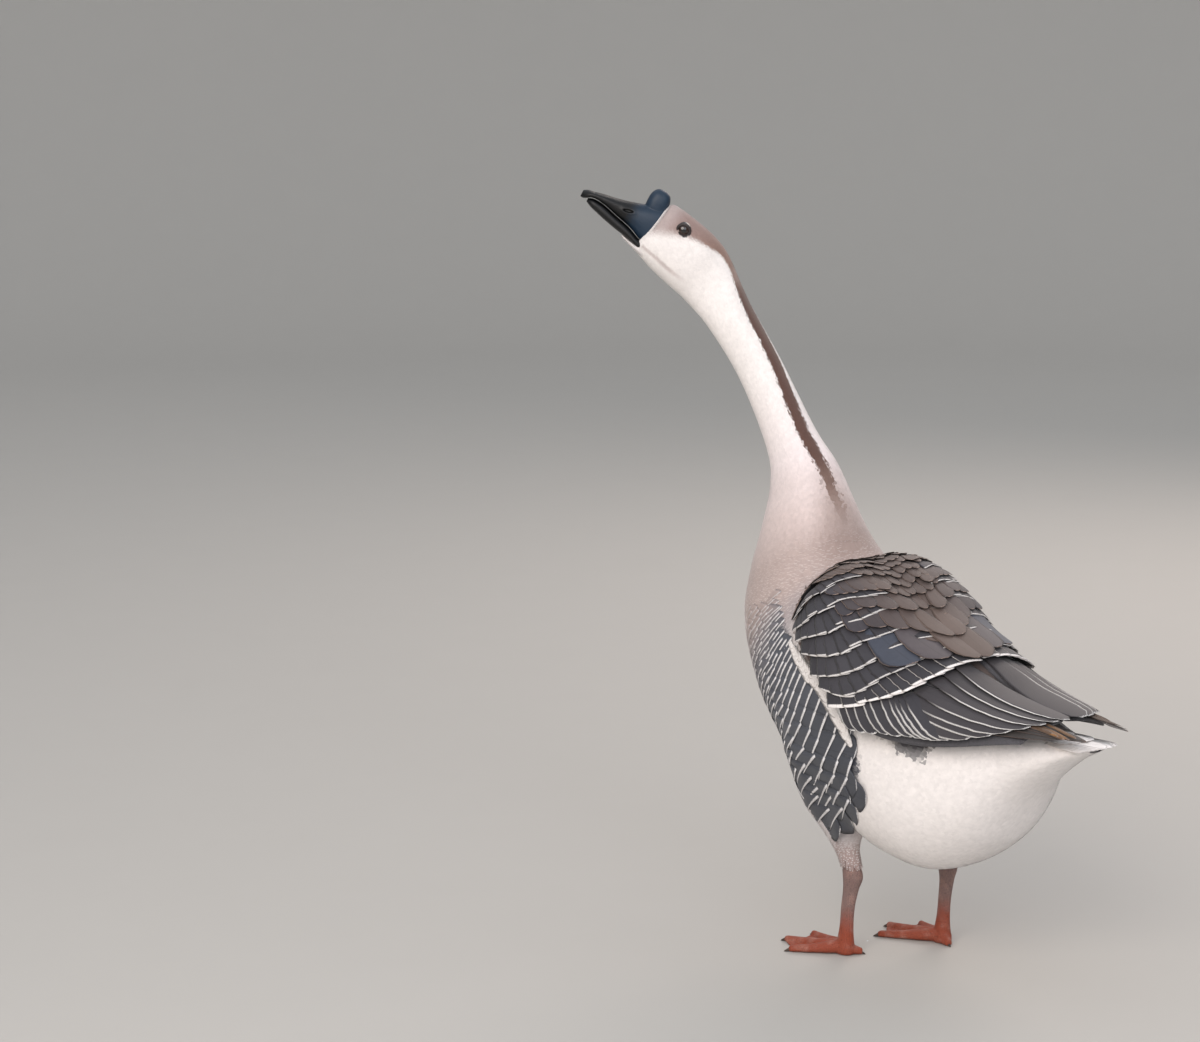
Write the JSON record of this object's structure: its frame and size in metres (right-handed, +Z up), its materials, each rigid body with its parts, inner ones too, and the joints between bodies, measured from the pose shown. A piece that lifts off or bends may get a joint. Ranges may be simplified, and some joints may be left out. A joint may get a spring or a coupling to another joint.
{
  "type": "african goose",
  "caption": "Life-size still model of a standing farmyard goose with a knobbed bill, head raised and turned to its left, folded wings and flat webbed feet.",
  "frame": {"origin": "bottom centre of the bounding box, at the level of the soles", "axes": "+Z up and the longest extent; the bird's body faces -Y and its own left side is +X, the shortest extent"},
  "size_m": [0.3068, 0.7598, 0.9232],
  "materials": {
    "plumage_fawn": "fawn body feathers",
    "plumage_white": "white and cream feathers",
    "plumage_grey": "dark slate wing feathers with pale edges",
    "horn_black": "black horn of bill and knob",
    "eye_brown": "wet dark brown eye",
    "leg_orange": "scaly orange skin of legs and feet"
  },
  "bodies": {
    "root": {"torso": "plumage_fawn", "neck_lower": "plumage_fawn", "neck_upper": "plumage_fawn", "head": "plumage_white", "bill_upper": "horn_black", "bill_lower": "horn_black", "eye_left": "eye_brown", "eye_right": "eye_brown", "wing_left": "plumage_grey", "wing_right": "plumage_grey", "tail": "plumage_white", "leg_left": "leg_orange", "leg_right": "leg_orange", "foot_left": "leg_orange", "foot_right": "leg_orange"}
  },
  "joints": []
}
